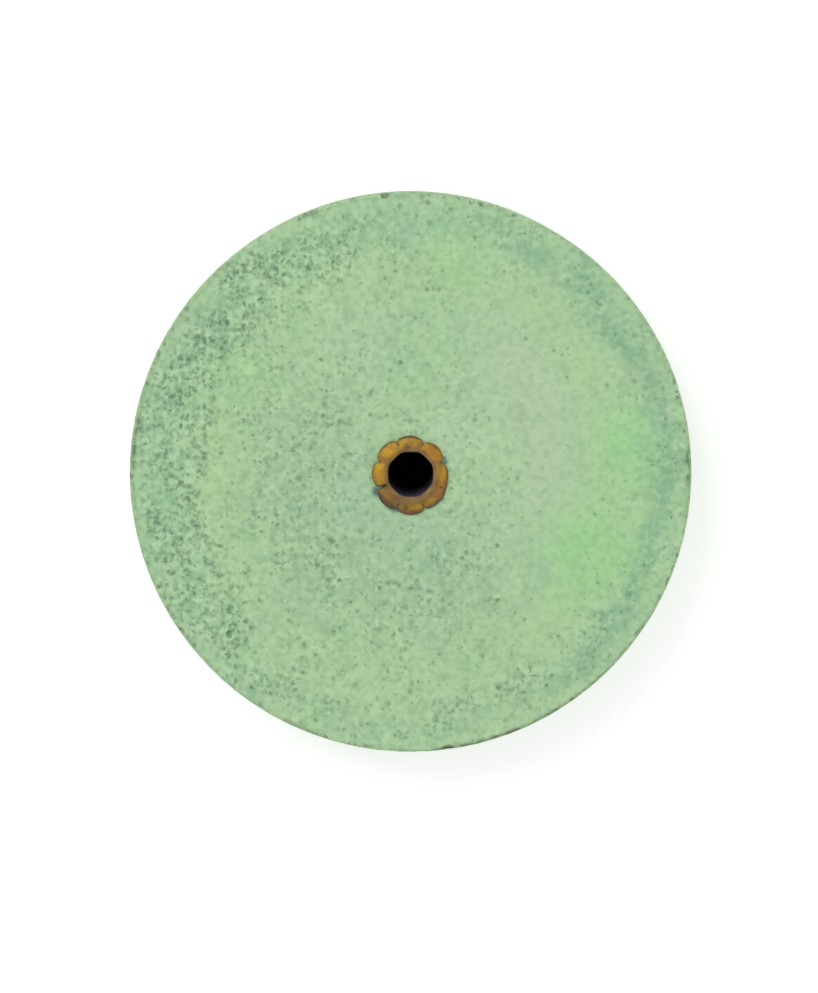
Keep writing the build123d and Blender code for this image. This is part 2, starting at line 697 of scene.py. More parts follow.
    def _grained_colour(self, graph: Graph, place: Wire, colour: Wire, crowding: Wire) -> Wire:
        """Lays the bright grains, and the dark specks between them.

        Args:
            graph: The material's tree.
            place: The place as _unrolled() gives it.
            colour: The colour so far.
            crowding: How thickly pores lie there.

        Returns:
            The colour.
        """
        aside = graph.vectors("ADD", place, self.grains_aside)
        bright = self.grains.mask(graph, aside, crowding)
        colour = graph.mix(bright, colour, self.grit_top)
        for layer in self.specks:
            colour = graph.mix(layer.mask(graph, place, crowding), colour, self.speck)
        return colour

    def _unrolled(self, graph: Graph, pressed: Wire, reach: Wire) -> Wire:
        """Lays a face or the rim flat, and bends it a little so that no speck is round.

        Args:
            graph: The material's tree.
            pressed: The place as PressMarks.pressed() gives it.
            reach: How far the place lies from the axis.

        Returns:
            The place on the flat, in millimetres.
        """
        across, along, deep = graph.parts(pressed)
        radius = self.marks.wheel_radius
        on_rim = (reach > radius - self.arris_width) * (deep > self.arris_depth)
        around = graph.maths("ARCTAN2", along, across) * radius
        on_face = 1.0 - on_rim
        flat = graph.vector(across * on_face + around * on_rim, along * on_face + deep * on_rim)
        sockets = {"Vector": flat, "Scale": 1 / self.bend_size, "Detail": 0.5}
        bend = graph.wire("ShaderNodeTexNoise", {"noise_dimensions": "2D"}, sockets, "Color")
        bend = graph.scaled(graph.vectors("SUBTRACT", bend, (0.5, 0.5, 0.5)), self.bend_reach)
        return graph.vectors("ADD", flat, bend)

    def _edge_colour(self, graph: Graph, place: Wire, colour: Wire, reach: Wire) -> Wire:
        """Scorches a broken line just inside the two edges, and the chips; towards the bottom the line
        moves onto the outline and browns as painted shade.

        Args:
            graph: The material's tree.
            place: The place in millimetres.
            colour: The colour so far.
            reach: How far the place lies from the axis.

        Returns:
            The colour.
        """
        x, y, _ = graph.parts(place)
        radius = self.marks.wheel_radius
        scorch, beaded = 0.2, 0.05
        for patch in self.marks.scorches:
            scorch = patch.mask(x / radius, y / radius) * 0.75 + scorch
        for patch in self.marks.beaded:
            beaded = patch.mask(x / radius, y / radius) + beaded
        # painted shade: towards the bottom the line sits on the outline and browns there
        low = PressMarks.towards(x, y, reach, 285.0).rise(0.5, 1.0)
        beads = graph.noise(place, 0.36, 2.0, 0.6).rise(0.38, 0.6)
        streaks = graph.noise(place, 1.7, 2.0, 0.6).rise(0.34, 0.56) * (beads * 0.8 + 0.2)
        line = (reach - low * 0.065).bell(radius - 0.13, 0.065)
        drops = graph.noise(place, 0.19, 1.0).rise(0.55, 0.66)
        drops = drops * (reach - low * 0.05).bell(radius - 0.12, 0.08) * beaded.at_most(0.7)
        dark = (line * streaks * scorch * 0.95).at_least(drops).at_most(0.85)
        colour = graph.mix(dark, colour, self.scorch_and_shade_green)
        # painted shadow: dark bluish spots on the face just outside the eyelet's petal tips
        for patch in self.petal_shadows:
            colour = graph.mix(patch.mask(x / radius, y / radius) * 0.9, colour, self.shadow_and_grime)
        chip = self._attribute(graph, "chip") * (0.4 + streaks * 0.6)
        browned = (chip + line * streaks * low * 0.25).at_most(0.95)
        return graph.mix(browned, colour, self.scorch_and_shade_brown)

    @staticmethod
    def _grain_relief(graph: Graph, place: Wire) -> Wire:
        """Roughs the skin up a little, finer than the mesh does."""
        height = graph.noise(place, 0.09, 2.0, 0.6)
        sockets = {"Strength": 0.5, "Distance": 0.02 * MM, "Height": height}
        return graph.wire("ShaderNodeBump", None, sockets)


@dataclass
class AbrasiveDisc:
    """The bonded disc: two pitted faces, a pitted rim, worn edges and the arbor hole."""

    radius: float
    back_face: float
    front_face: float
    marks: PressMarks
    finish: CarbideFinish

    hole_radius: float = 0.94
    hole_chamfer: float = 0.095
    arris: float = 0.08
    edge_band: float = 0.30
    columns: int = 900
    hole_columns: int = 60
    crumble: float = 0.02
    chips: tuple[RimChip, ...] = (
        RimChip(19.5, 0.28, 0.12, 0.8),
        RimChip(30.2, 0.30, 0.15),
        RimChip(38.9, 0.24, 0.12),
        RimChip(48.4, 0.24, 0.11),
        RimChip(95.2, 0.30, 0.20, 0.65),
        RimChip(111.3, 0.48, 0.14),
        RimChip(154.3, 0.24, 0.15, 0.6),
        RimChip(172.0, 0.44, 0.12, 0.5),
        RimChip(180.5, 0.30, 0.13, 0.7),
        RimChip(209.4, 0.32, 0.13),
        RimChip(214.4, 0.42, 0.15, 0.6),
        RimChip(230.1, 0.28, 0.12),
        RimChip(277.7, 0.66, 0.15, 0.9),
        RimChip(287.6, 0.34, 0.13, 0.6),
        RimChip(305.5, 0.30, 0.12, 0.8),
        RimChip(325.0, 0.46, 0.15),
        RimChip(333.5, 0.34, 0.13),
        RimChip(343.0, 0.24, 0.12),
    )
    least_pore: float = 0.045
    most_pore: float = 0.11
    pore_gap: float = 0.15
    pore_depth: float = 0.5
    grit_height: float = 0.22
    grit_share: float = 0.22
    rim_share: float = 0.5
    sheet: BakeSheet = BakeSheet()

    def build(self) -> bpy.types.Object:
        """Builds and dresses the disc.

        Returns:
            The finished piece, one closed mesh in metres.
        """
        bands = self._bands()
        piece = bpy.data.objects.new("silicon_carbide_disc", bands)
        bpy.context.scene.collection.objects.link(piece)
        tree = PittedSkin(self).tree()
        modifier = piece.modifiers.new("pitted skin", "NODES")
        modifier.node_group = tree
        settings = {
            "Pores per mm2": self.marks.crowded_pores,
            "Least Pore": self.least_pore,
            "Most Pore": self.most_pore,
            "Pore Gap": self.pore_gap,
            "Seed": 7,
            "Finish": self.finish.material(),
        }
        inputs = {item.name: item.identifier for item in tree.interface.items_tree}
        for name, value in settings.items():
            modifier[inputs[name]] = value
        shown = piece.evaluated_get(bpy.context.evaluated_depsgraph_get())
        mesh = bpy.data.meshes.new_from_object(shown)
        piece.modifiers.remove(modifier)
        piece.data = mesh
        mesh.uv_layers.active = mesh.uv_layers[BAKE_MAP]
        mesh.uv_layers[BAKE_MAP].active_render = True
        return piece

    def _bands(self) -> bpy.types.Mesh:
        """Makes the edge bands and the hole's wall, which the pitted faces and rim join.

        Returns:
            The mesh, in millimetres, with its attributes and its map.
        """
        band, arris, radius = self.edge_band, self.arris, self.radius
        steps = np.array([0.0, 0.075, 0.13, 0.17, 0.2, 0.22])
        onto_face = [(radius - band + step, 0.0) for step in steps]
        down_rim = [(radius, -(band - step)) for step in steps[::-1]]
        over_arris = [(radius - arris * 0.5, -arris * 0.5)]
        front = [(r, self.front_face + z) for r, z in onto_face + over_arris + down_rim]
        back = [(r, self.back_face - z) for r, z in (onto_face + over_arris + down_rim)[::-1]]
        hole, chamfer = self.hole_radius, self.hole_chamfer
        middle = (self.front_face + self.back_face) / 2
        front_hole = [
            (hole, middle),
            (hole, self.front_face - chamfer),
            (hole + chamfer, self.front_face),
        ]
        back_hole = [(r, self.front_face + self.back_face - z) for r, z in front_hole[::-1]]
        strips = [
            self._revolved(front, self.columns, Side.FRONT, edge=len(onto_face)),
            self._revolved(back, self.columns, Side.BACK, edge=len(onto_face)),
            self._revolved(front_hole, self.hole_columns, Side.FRONT),
            self._revolved(back_hole, self.hole_columns, Side.BACK),
        ]
        return self._joined(strips)

    def _revolved(
        self, profile: list[tuple[float, float]], columns: int, side: Side, edge: int | None = None
    ) -> dict[str, np.ndarray]:
        """Turns a profile round the axis.

        Args:
            profile: The profile's radii and heights, with the outside on its right.
            columns: How many columns go round.
            side: The face that it belongs to.
            edge: The place in the profile of the worn edge's middle, if it has one.

        Returns:
            Its points, faces, attributes and map.
        """
        rows = len(profile)
        radii, heights = np.array(profile).T
        turns = np.arange(columns) * 2 * np.pi / columns
        points = np.stack(
            [
                np.outer(radii, np.cos(turns)),
                np.outer(radii, np.sin(turns)),
                np.outer(heights, np.ones(columns)),
            ],
            axis=-1,
        ).reshape(-1, 3)
        wear = np.zeros(len(points))
        cut = np.zeros(len(points))
        if edge is not None:
            at_edge = 1 - np.abs(np.arange(rows) - edge) / (edge + 1e-9)
            wear = np.repeat(np.clip(at_edge * 1.6 - 0.4, 0, 1), columns)
            points = self._worn(points, wear)
            if side is Side.FRONT:
                for chip in self.chips:
                    points, depth = chip.scoop(points, self.radius, self.front_face)
                    cut = np.maximum(cut, chip.stain * np.clip(depth / 0.05, 0, 1))
        row, column = np.meshgrid(np.arange(rows - 1), np.arange(columns), indexing="ij")
        after = (column + 1) % columns
        corners = [row * columns + column, (row + 1) * columns + column]
        corners += [(row + 1) * columns + after, row * columns + after]
        run = np.concatenate([[0.0], np.cumsum(np.hypot(np.diff(radii), np.diff(heights)))])
        spread = self._map_radii(run, radii, side)
        u, v = self.sheet.middle(side)
        places = np.stack(
            [
                u + self.sheet.scale * np.outer(spread, np.cos(turns)),
                v + self.sheet.scale * np.outer(spread, np.sin(turns)),
            ],
            axis=-1,
        ).reshape(-1, 2)
        return {
            "points": points,
            "faces": np.stack(corners, axis=-1).reshape(-1, 4),
            "chip": cut,
            "places": places,
        }

    def _map_radii(self, run: np.ndarray, radii: np.ndarray, side: Side) -> np.ndarray:
        """Gives the radius at which each row of a profile lies on the map.

        Args:
            run: The length along the profile at each row.
            radii: The radius of each row.
            side: The face that it belongs to.

        Returns:
            The radii on the map, in millimetres.
        """
        if radii.max() > 2 * self.hole_radius:
            inner = self.radius - self.edge_band
            return inner + (run if side is Side.FRONT else run[-1] - run)
        outer = self.hole_radius + self.hole_chamfer
        from_face = run[-1] - run if side is Side.FRONT else run
        return outer - from_face * (outer - 0.1) / run[-1]

    def _worn(self, points: np.ndarray, wear: np.ndarray) -> np.ndarray:
        """Crumbles an edge a little, unevenly.

        Args:
            points: The band's points.
            wear: How much each lies on the edge, from 0 to 1.

        Returns:
            The points, moved inwards by up to the crumble.
        """
        moved = points.copy()
        for index in np.flatnonzero(wear > 0):
            x, y, z = points[index]
            loose = 0.5 + 0.5 * noise.noise(Vector((x, y, z)) * 3.1)
            loose += 0.4 * noise.noise(Vector((x, y, z)) * 9.0)
            depth = self.crumble * wear[index] * min(max(loose, 0.0), 1.2)
            inwards = 1 - depth / self.radius
            towards_middle = math.copysign(depth, (self.front_face + self.back_face) / 2 - z)
            moved[index] = (x * inwards, y * inwards, z + towards_middle)
        return moved

    @staticmethod
    def _joined(strips: list[dict[str, np.ndarray]]) -> bpy.types.Mesh:
        """Puts the strips in one mesh.

        Args:
            strips: Each strip's points, faces, attributes and map.

        Returns:
            The mesh.
        """
        starts = np.cumsum([0] + [len(strip["points"]) for strip in strips[:-1]])
        faces = np.concatenate([s["faces"] + start for s, start in zip(strips, starts, strict=True)])
        points = np.concatenate([strip["points"] for strip in strips])
        mesh = bpy.data.meshes.new("wheel_edges")
        mesh.from_pydata(points, [], faces.tolist())
        chips = np.concatenate([strip["chip"] for strip in strips]).astype(np.float32)
        mesh.attributes.new("chip", "FLOAT", "POINT").data.foreach_set("value", chips)
        places = np.concatenate([strip["places"] for strip in strips])[faces.ravel()]
        layer = mesh.uv_layers.new(name=BAKE_MAP)
        layer.uv.foreach_set("vector", places.astype(np.float32).ravel())
        return mesh


class PittedSkin:
    """The Geometry Nodes tree that fills the wheel's faces and rim and pits them."""

    def __init__(self, disc: AbrasiveDisc) -> None:
        """Starts an empty tree with named inputs for the pores."""
        self.disc = disc
        tree = bpy.data.node_groups.new("pitted_skin", "GeometryNodeTree")
        self.graph = Graph(tree)
        face = tree.interface
        face.new_socket("Edges", in_out="INPUT", socket_type="NodeSocketGeometry")
        for name in ("Pores per mm2", "Least Pore", "Most Pore", "Pore Gap"):
            face.new_socket(name, in_out="INPUT", socket_type="NodeSocketFloat")
        face.new_socket("Seed", in_out="INPUT", socket_type="NodeSocketInt")
        face.new_socket("Finish", in_out="INPUT", socket_type="NodeSocketMaterial")
        face.new_socket("Wheel", in_out="OUTPUT", socket_type="NodeSocketGeometry")
        given = self.graph.node("NodeGroupInput")
        self.given = {s.name: Wire(self.graph, s) for s in given.outputs if s.name}

    def tree(self) -> bpy.types.NodeTree:
        """Builds the whole tree.

        Returns:
            The tree, whose output is the closed wheel in metres.
        """
        shapes = self._seed_shapes()
        skins = [self._face(side, shapes) for side in Side] + [self._rim(shapes)]
        wheel = self._join([self.given["Edges"], *skins])
        wheel = self.graph.wire(
            "GeometryNodeMergeByDistance", None, {"Geometry": wheel, "Distance": 0.001}
        )
        for name in ("breadth", "sense"):
            wheel = self.graph.wire(
                "GeometryNodeRemoveAttribute", None, {"Geometry": wheel, "Name": name}
            )
        wheel = self._smooth(wheel)
        scale = {"Geometry": wheel, "Scale": (MM, MM, MM)}
        wheel = self.graph.wire("GeometryNodeTransform", None, scale)
        wheel = self.graph.wire("GeometryNodeRealizeInstances", None, {"Geometry": wheel})
        finish = {"Geometry": wheel, "Material": self.given["Finish"]}
        wheel = self.graph.wire("GeometryNodeSetMaterial", None, finish)
        self.graph.node("NodeGroupOutput", None, {"Wheel": wheel})
        return self.graph.tree

    def _join(self, pieces: Sequence[Wire]) -> Wire:
        """Joins geometry, in the order given."""
        node = self.graph.node("GeometryNodeJoinGeometry")
        for piece in reversed(pieces):
            self.graph.tree.links.new(piece.socket, node.inputs[0])
        return Wire(self.graph, node.outputs[0])

    def _position(self) -> tuple[Wire, Wire, Wire]:
        """Reads the place of each point."""
        return self.graph.parts(self.graph.wire("GeometryNodeInputPosition"))

    def _store(
        self, geometry: Wire, name: str, value: Wire | float, kind: str = "FLOAT", on: str = "POINT"
    ) -> Wire:
        """Keeps a value on the geometry under a name.

        Args:
            geometry: What it is kept on.
            name: The attribute's name.
            value: The value.
            kind: The attribute's data type.
            on: The part of the geometry that it belongs to.

        Returns:
            The geometry with the attribute.
        """
        settings = {"data_type": kind, "domain": on}
        sockets = {"Geometry": geometry, "Name": name, "Value": value}
        return self.graph.wire("GeometryNodeStoreNamedAttribute", settings, sockets)

    def _named(self, name: str) -> Wire:
        """Reads a number that was kept under a name."""
        settings = {"data_type": "FLOAT"}
        return self.graph.wire("GeometryNodeInputNamedAttribute", settings, {"Name": name})

    def _random(self, low: Any, high: Any, seed: int, kind: str = "FLOAT") -> Wire:
        """Gives each point its own random value.

        Args:
            low: The least value.
            high: The largest.
            seed: What tells this draw from the others.
            kind: The value's data type.

        Returns:
            The random value.
        """
        sockets = {"Min": low, "Max": high, "Seed": self.given["Seed"] + seed}
        return self.graph.wire("FunctionNodeRandomValue", {"data_type": kind}, sockets)

    def _seed_shapes(self) -> Wire:
        """Makes the three shapes that break the skin, each a low open cone of unit size.

        Returns:
            The shapes as instances, in the order of Blemish.
        """
        sides = {Blemish.PORE: (7, 0.3), Blemish.PINHOLE: (5, 0.25), Blemish.GRIT: (5, 0.5)}
        shapes = []
        for blemish in Blemish:
            count, top = sides[blemish]
            sockets = {"Vertices": count, "Radius Top": top, "Radius Bottom": 1.0, "Depth": 1.0}
            cone = self.graph.node("GeometryNodeMeshCone", {"fill_type": "NGON"}, sockets)
            mesh, bottom = (Wire(self.graph, self.graph.pick(cone.outputs, n)) for n in ("Mesh", "Bottom"))
            settings = {"domain": "FACE", "mode": "ONLY_FACE"}
            opened = {"Geometry": mesh, "Selection": bottom}
            shape = self.graph.wire("GeometryNodeDeleteGeometry", settings, opened)
            shape = self._store(shape, "relief", self._position()[2])
            shapes.append(self.graph.wire("GeometryNodeGeometryToInstance", None, {0: shape}))
        return self._join(shapes)

    def _pits(self, points: Wire, shapes: Wire, seed: int, grit_share: float) -> Wire:
        """Puts a pore, a pinhole or a grit on each point of a flat skin.

        Args:
            points: The points.
            shapes: The shapes, in the order of Blemish.
            seed: What tells this skin from the others.
            grit_share: The share of the points that carry raised grit.

        Returns:
            The shapes as open cups and caps, with their mouths in the skin.
        """
        graph, disc = self.graph, self.disc
        position = graph.wire("GeometryNodeInputPosition")
        nearest = graph.wire("GeometryNodeIndexOfNearest", None, {"Position": position})
        settings = {"data_type": "FLOAT_VECTOR", "domain": "POINT"}
        sockets = {"Value": position, "Index": nearest}
        neighbour = graph.wire("GeometryNodeFieldAtIndex", settings, sockets)
        gap = graph.vectors("DISTANCE", position, neighbour)
        draw = self._random(0.0, 1.0, seed)
        span = self.given["Most Pore"] - self.given["Least Pore"]
        breadth = (self.given["Least Pore"] + span * draw**2.5).at_most(gap * 0.38)
        points = self._store(points, "breadth", breadth)
        which = self._random(0.0, 1.0, seed + 1)
        is_grit = which < grit_share
        is_pinhole = (breadth < 0.05) * (1.0 - is_grit)
        kind = is_grit * float(Blemish.GRIT.value) + is_pinhole * float(Blemish.PINHOLE.value)
        sense = is_grit * (disc.grit_height + disc.pore_depth) - disc.pore_depth
        points = self._store(points, "sense", sense)
        points = self._store(points, "tone", self._random(0.0, 1.0, seed + 2))
        size = self._named("breadth")
        stretch = self._random(0.75, 1.2, seed + 3)
        sockets = {
            "Points": points,
            "Instance": shapes,
            "Pick Instance": True,
            "Instance Index": kind,
            "Rotation": graph.vector(0.0, 0.0, self._random(0.0, math.tau, seed + 4)),
            "Scale": graph.vector(size * stretch, size / stretch, size),
        }
        cups = graph.wire("GeometryNodeInstanceOnPoints", None, sockets)
        cups = graph.wire("GeometryNodeRealizeInstances", None, {"Geometry": cups})
        relief = self._named("relief")
        raised = self._named("sense") > 0.0
        cups = self._store(cups, "relief", relief * (raised * 2.0 - 1.0))
        x, y, z = self._position()
        jitter = self._random((-1.0, -1.0, -1.0), (1.0, 1.0, 1.0), seed + 5, "FLOAT_VECTOR")
        dx, dy, dz = graph.parts(graph.scaled(jitter, self._named("breadth") * 0.2))
        height = z * self._named("sense") + dz * relief
        moved = {"Geometry": cups, "Position": graph.vector(x + dx, y + dy, height)}
        return graph.wire("GeometryNodeSetPosition", None, moved)

    def _filled(self, outlines: Sequence[Wire], cups: Wire) -> Wire:
        """Fills a flat skin between its outlines and the mouths of its cups.

        Args:
            outlines: The outer outline and any hole, as curves.
            cups: The cups and caps.

        Returns:
            The skin with its cups.
        """
        graph = self.graph
        uses = graph.wire("GeometryNodeInputMeshEdgeNeighbors")
        settings = {"data_type": "INT", "operation": "EQUAL"}
        mouth = graph.wire("FunctionNodeCompare", settings, {"A": uses, "B": 1})
        sockets = {"Mesh": cups, "Selection": mouth}
        mouths = graph.wire("GeometryNodeMeshToCurve", None, sockets)
        sockets = {"Curve": self._join([*outlines, mouths])}
        skin = graph.wire("GeometryNodeFillCurve", {"mode": "TRIANGLES"}, sockets)
        return self._join([skin, cups])

    def _scatter(self, ground: Wire, share: Wire | float, seed: int) -> Wire:
        """Scatters points over a flat ground.

        Args:
            ground: The mesh that they lie on.
            share: How thickly they lie, as a share of the densest.
            seed: What tells this ground from the others.

        Returns:
            The points.
        """
        sockets = {
            "Mesh": ground,
            "Distance Min": self.given["Pore Gap"],
            "Density Max": self.given["Pores per mm2"],
            "Density Factor": share,
            "Seed": self.given["Seed"] + seed,
        }
        settings = {"distribute_method": "POISSON"}
        return self.graph.wire("GeometryNodeDistributePointsOnFaces", settings, sockets)

    def _grid(self, width: float, height: float, columns: int, rows: int) -> Wire:
        """Makes a flat grid about the origin.

        Args:
            width: Its size along X.
            height: Its size along Y.
            columns: How many points lie along X.
            rows: How many points lie along Y.

        Returns:
            The grid.
        """
        sockets = {"Size X": width, "Size Y": height, "Vertices X": columns, "Vertices Y": rows}
        return self.graph.wire("GeometryNodeMeshGrid", None, sockets)

    def _face(self, side: Side, shapes: Wire) -> Wire:
        """Builds one pitted face.

        Args:
            side: Which face.
            shapes: The seed shapes.

        Returns:
            The face in its place, with its map.
        """
        graph, disc = self.graph, self.disc
        seed = 100 * (side.value + 1)
        outer = disc.radius - disc.edge_band
        inner = disc.hole_radius + disc.hole_chamfer
        ground = self._grid(2 * disc.radius, 2 * disc.radius, 97, 97)
        place = graph.wire("GeometryNodeInputPosition")
        masks = disc.marks.masks(graph, place)
        points = self._scatter(ground, disc.marks.crowding(graph, place, masks), seed)
        x, y, _ = self._position()
        reach = (x * x + y * y).apply("SQRT")
        margin = 1.3 * disc.most_pore
        off_face = (reach > outer - margin) + (reach < inner + margin)
        settings = {"domain": "POINT", "mode": "ALL"}
        sockets = {"Geometry": points, "Selection": off_face > 0.5}
        points = graph.wire("GeometryNodeDeleteGeometry", settings, sockets)
        cups = self._pits(points, shapes, seed, disc.grit_share)
        outlines = []
        for radius, columns in ((outer, disc.columns), (inner, disc.hole_columns)):
            sockets = {"Resolution": columns, "Radius": radius}
            outlines.append(graph.wire("GeometryNodeCurvePrimitiveCircle", {"mode": "RADIUS"}, sockets))
        face = self._filled(outlines, cups)
        front = side is Side.FRONT
        place = {
            "Geometry": face,
            "Translation": (0.0, 0.0, disc.front_face if front else disc.back_face),
            "Rotation": (0.0, 0.0, 0.0) if front else (math.pi, 0.0, math.radians(disc.marks.back_turn)),
        }
        face = graph.wire("GeometryNodeTransform", None, place)
        x, y, _ = self._position()
        u, v = disc.sheet.middle(side)
        where = graph.vector(x * disc.sheet.scale + u, y * disc.sheet.scale + v)
        return self._store(face, BAKE_MAP, where, "FLOAT2", "CORNER")

    def _rim(self, shapes: Wire) -> Wire:
        """Builds the pitted rim flat, and wraps it round the wheel.

        Args:
            shapes: The seed shapes.

        Returns:
            The rim in its place, with its map.
        """
        graph, disc, seed = self.graph, self.disc, 300
        length = math.tau * disc.radius
        height = disc.front_face - disc.back_face - 2 * disc.edge_band
        margin = 2.6 * disc.most_pore
        ground = self._grid(length - margin, height - margin, 300, 13)
        crowding = graph.noise(graph.wire("GeometryNodeInputPosition"), 5.0, 2.0).rise(0.3, 0.65)
        clusters = graph.noise(graph.wire("GeometryNodeInputPosition"), 1.1, 2.0).rise(0.3, 0.68)
        share = (crowding * 0.7 + 0.3) * (0.5 + clusters) * disc.rim_share
        points = self._scatter(ground, share.at_most(1.0), seed)
        cups = self._pits(points, shapes, seed, 0.0)
        border = self._grid(length, height, disc.columns + 1, 25)
        uses = graph.wire("GeometryNodeInputMeshEdgeNeighbors")
        settings = {"data_type": "INT", "operation": "EQUAL"}
        at_border = graph.wire("FunctionNodeCompare", settings, {"A": uses, "B": 1})
        sockets = {"Mesh": border, "Selection": at_border}
        rim = self._filled([graph.wire("GeometryNodeMeshToCurve", None, sockets)], cups)
        rim = self._store(rim, BAKE_MAP, self._strip_place(length, height), "FLOAT2", "CORNER")
        x, y, z = self._position()
        turn = (x + length / 2) / disc.radius
        radius = z + disc.radius
        middle = (disc.front_face + disc.back_face) / 2
        wrapped = graph.vector(radius * turn.apply("COSINE"), radius * turn.apply("SINE"), y + middle)
        return graph.wire("GeometryNodeSetPosition", None, {"Geometry": rim, "Position": wrapped})

    def _strip_place(self, length: float, height: float) -> Wire:
        """Gives the place of the flat rim on the map, as four strips.

        Args:
            length: The rim's length.
            height: Its height.

        Returns:
            The place on the map.
        """
        graph, sheet = self.graph, self.disc.sheet
        x, y, _ = self._position()
        settings = {"data_type": "FLOAT", "domain": "FACE"}
        face_middle = graph.wire("GeometryNodeFieldOnDomain", settings, {0: x + length / 2})
        quarter = (face_middle / (length / 4)).apply("FLOOR").at_least(0.0).at_most(3.0)
        high = quarter > 1.5
        second = quarter - high * 2.0
        along = (x + length / 2 - quarter * (length / 4)) * sheet.scale
        low_u, low_v = sheet.low_strips
        high_u, high_v = sheet.high_strips
        u = along + low_u + high * (high_u - low_u)
        v = (y + height / 2) * sheet.scale + low_v + high * (high_v - low_v)
        return graph.vector(u, v + (second - high * second * 2.0) * sheet.strip_step)

    def _smooth(self, wheel: Wire) -> Wire:
        """Shades the skin smooth, with sharp edges where it breaks."""
        graph = self.graph
        sockets = {"Geometry": wheel, "Shade Smooth": True}
        wheel = graph.wire("GeometryNodeSetShadeSmooth", {"domain": "FACE"}, sockets)
        angle = graph.wire("GeometryNodeInputMeshEdgeAngle", None, None, "Unsigned Angle")
        sockets = {"Geometry": wheel, "Selection": angle > math.radians(28), "Shade Smooth": False}
        return graph.wire("GeometryNodeSetShadeSmooth", {"domain": "EDGE"}, sockets)


@dataclass(frozen=True)
class BrassFinish:
    """Tarnished brass, gold as a painted highlight on the petals' crowns, brown as painted shade in the
    folds and splits, and grime with painted shade in the bore.
    """

    front_face: float
    tip_radius: float = 1.33
    stains: tuple[Patch, ...] = (
        Patch(97.0, 0.74, 0.10),
        Patch(262.0, 0.86, 0.09),
        Patch(238.0, 0.95, 0.13),
        Patch(205.0, 0.72, 0.08),
    )

    gold: Colour = shade(172, 136, 42)
    brown: Colour = shade(134, 108, 62)
    copper: Colour = shade(150, 102, 54)
    umber: Colour = shade(88, 72, 54)
    painted_lip_light: Colour = shade(168, 140, 92)
    crease_shade_brown: Colour = shade(74, 64, 50)
    rust: Colour = shade(126, 86, 64)
    soot_and_shade: Colour = shade(52, 54, 62)
    bore_lit_grey: Colour = shade(76, 74, 100)

    def material(self) -> bpy.types.Material:
        """Builds the material.

        Returns:
            The material, which reads Object coordinates and the mesh's own attributes.
        """
        made = bpy.data.materials.new("eyelet_brass")
        made.use_nodes = True
        graph = Graph(made.node_tree)
        place = graph.scaled(graph.wire("ShaderNodeTexCoord", output="Object"), 1 / MM)
        x, y, z = graph.parts(place)
        crown = graph.wire("ShaderNodeAttribute", {"attribute_name": "crown"}, None, "Fac")
        seam = graph.wire("ShaderNodeAttribute", {"attribute_name": "seam"}, None, "Fac")
        cloud = graph.noise(place, 0.34, 2.0, 0.6)
        fine = graph.noise(place, 0.09, 2.0, 0.6)
        reach = (x * x + y * y).apply("SQRT")
        # painted highlight: gold is laid over the petals' crowns, on top of the brass's own mottled tone
        gilt = (crown * 0.4 + 0.4 + (cloud - 0.5) * 2.0).rise(0.15, 0.85)
        colour = graph.mix(gilt, self.brown, self.gold)
        rusty = graph.noise(graph.vectors("ADD", place, (5.0, 3.0, 1.0)), 0.4, 2.0).rise(0.46, 0.66)
        colour = graph.mix(rusty * 0.65, colour, self.copper)
        tarnish = graph.wire("ShaderNodeAttribute", {"attribute_name": "tarnish"}, None, "Fac")
        outer = reach.rise(1.12, 1.32)
        reddish = outer * (tarnish * 1.6 + cloud * 0.8 - 0.5).rise(0.0, 0.6)
        colour = graph.mix(reddish * 0.8, colour, self.rust)
        burnt = (tarnish * (outer * 0.3 + 0.9) + cloud * 1.6 - 1.2).rise(0.0, 0.7)
        colour = graph.mix(burnt * 0.85, colour, self.umber)
        shaded = PressMarks.towards(x, y, reach, 300.0).rise(0.1, 0.9) * reach.rise(1.1, 0.92)
        colour = graph.mix(shaded * 0.45, colour, self.umber)
        # painted light: the bore's rolled lip is lightened to a paler, less metallic brass
        lip = reach.rise(0.93, 0.78) * z.rise(self.front_face - 0.1, self.front_face + 0.1)
        colour = graph.mix(lip * 0.8, colour, self.painted_lip_light)
        for stain in self.stains:
            near = stain.mask(x / self.tip_radius, y / self.tip_radius)
            colour = graph.mix(near * 0.8, colour, self.umber)
        # painted shade: dark brown in the splits between petals and along their tips
        colour = graph.mix(seam * 0.75, colour, self.crease_shade_brown)
        shadow_and_grime = (seam * 0.4 + fine.rise(0.55, 0.8) * 0.2).at_most(1.0)
        colour = graph.mix(fine.rise(0.55, 0.8) * 0.2, colour, self.soot_and_shade)
        # painted shade down the bore, partly grime, with a painted lit crescent on the wall towards 266
        # degrees
        down_bore = z.rise(self.front_face, self.front_face - 0.15)
        lit = PressMarks.towards(x, y, reach, 266.0).rise(0.6, 0.95)
        colour = graph.mix(down_bore, colour, graph.mix(lit, self.soot_and_shade, self.bore_lit_grey))
        dull = (shadow_and_grime + down_bore + burnt * 0.5).at_most(1.0)
        sockets = {
            "Base Color": colour,
            "Metallic": 0.9 - dull * 0.8 - lip * 0.8,
            "Roughness": 0.48 + fine * 0.2 + dull * 0.25,
            "Normal": self._dimples(graph, cloud, fine),
        }
        shader = graph.wire("ShaderNodeBsdfPrincipled", None, sockets)
        graph.node("ShaderNodeOutputMaterial", None, {"Surface": shader})
        return made

    @staticmethod
    def _dimples(graph: Graph, cloud: Wire, fine: Wire) -> Wire:
        """Beats the brass a little, as the clinching tool left it."""
        sockets = {"Strength": 0.5, "Distance": 0.03 * MM, "Height": cloud * 0.8 + fine * 0.2}
        return graph.wire("ShaderNodeBump", None, sockets)


